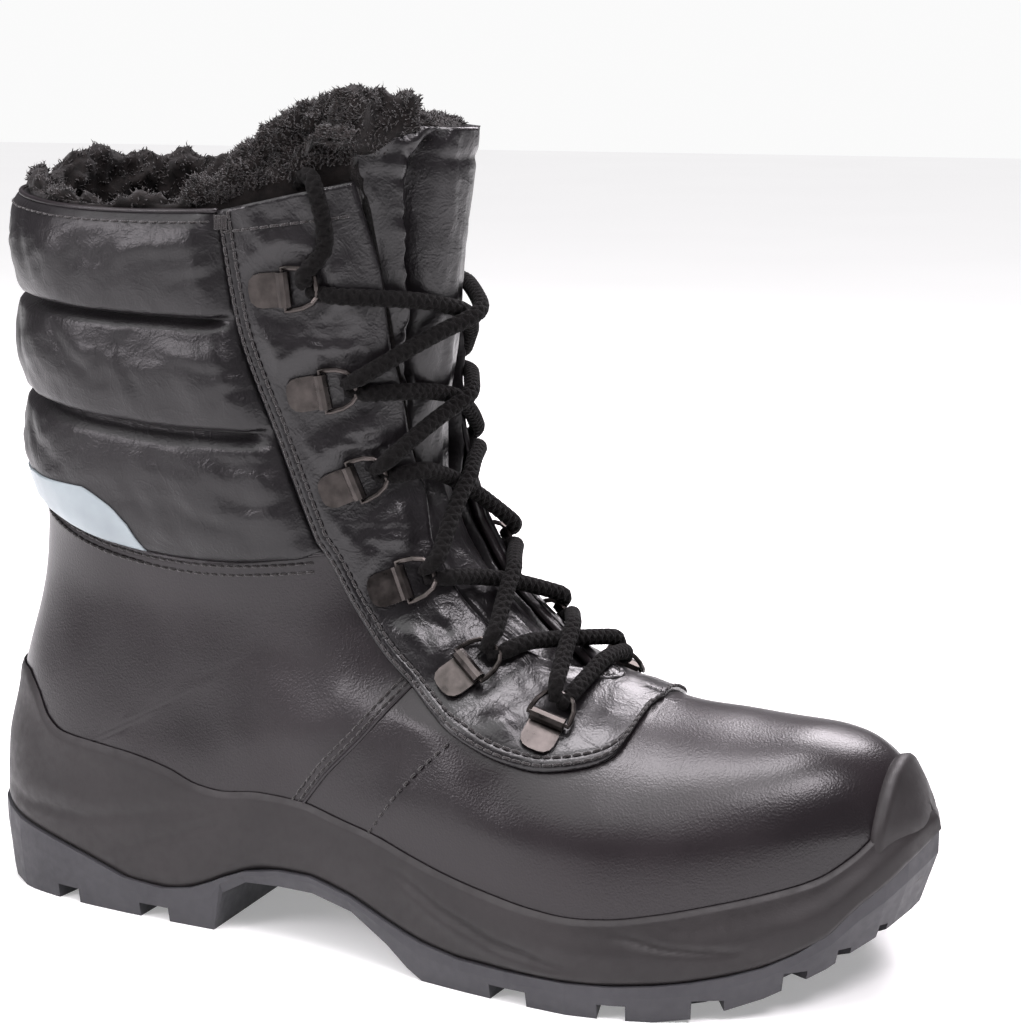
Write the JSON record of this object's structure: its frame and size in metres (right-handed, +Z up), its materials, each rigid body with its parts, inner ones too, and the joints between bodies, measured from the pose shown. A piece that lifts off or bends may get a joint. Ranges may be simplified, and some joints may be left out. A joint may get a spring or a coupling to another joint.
{
  "type": "winter safety boot",
  "caption": "Ankle-high winter safety boot for the right foot: lugged outsole, moulded midsole with toe bumper, quilted shaft, padded tongue, and a lace through D-rings.",
  "frame": {"origin": "on the floor under the middle of the heel", "axes": "+X towards the toe, +Y towards the inner (medial) side, +Z up"},
  "size_m": [0.316, 0.1156, 0.2509],
  "materials": {
    "outsole_rubber": "matt",
    "midsole_moulded": "matt, fine grain",
    "upper_leather": "semi-matt, smooth",
    "facing_leather": "soft, grained",
    "tongue_fabric": "padded, matt",
    "insole_felt": "felt",
    "gunmetal": "dark, satin",
    "lace_cord": "round braid",
    "reflective_tape": "satin"
  },
  "bodies": {
    "root": {"outsole": "outsole_rubber", "midsole": "midsole_moulded", "upper": "upper_leather", "facing": "facing_leather", "tongue": "tongue_fabric", "insole": "insole_felt", "reflective_strip": "reflective_tape", "lace_bar": "lace_cord", "lace_end": "lace_cord", "lace_crossing_1": "lace_cord", "lace_crossing_2": "lace_cord", "lace_crossing_3": "lace_cord", "lace_crossing_4": "lace_cord", "lace_crossing_5": "lace_cord", "lace_plate_lateral_1": "gunmetal", "d_ring_lateral_1": "gunmetal", "lace_plate_lateral_2": "gunmetal", "d_ring_lateral_2": "gunmetal", "lace_plate_lateral_3": "gunmetal", "d_ring_lateral_3": "gunmetal", "lace_plate_lateral_4": "gunmetal", "d_ring_lateral_4": "gunmetal", "lace_plate_lateral_5": "gunmetal", "d_ring_lateral_5": "gunmetal", "lace_plate_lateral_6": "gunmetal", "d_ring_lateral_6": "gunmetal", "lace_plate_medial_1": "gunmetal", "d_ring_medial_1": "gunmetal", "lace_plate_medial_2": "gunmetal", "d_ring_medial_2": "gunmetal", "lace_plate_medial_3": "gunmetal", "d_ring_medial_3": "gunmetal", "lace_plate_medial_4": "gunmetal", "d_ring_medial_4": "gunmetal", "lace_plate_medial_5": "gunmetal", "d_ring_medial_5": "gunmetal", "lace_plate_medial_6": "gunmetal", "d_ring_medial_6": "gunmetal"}
  },
  "joints": []
}
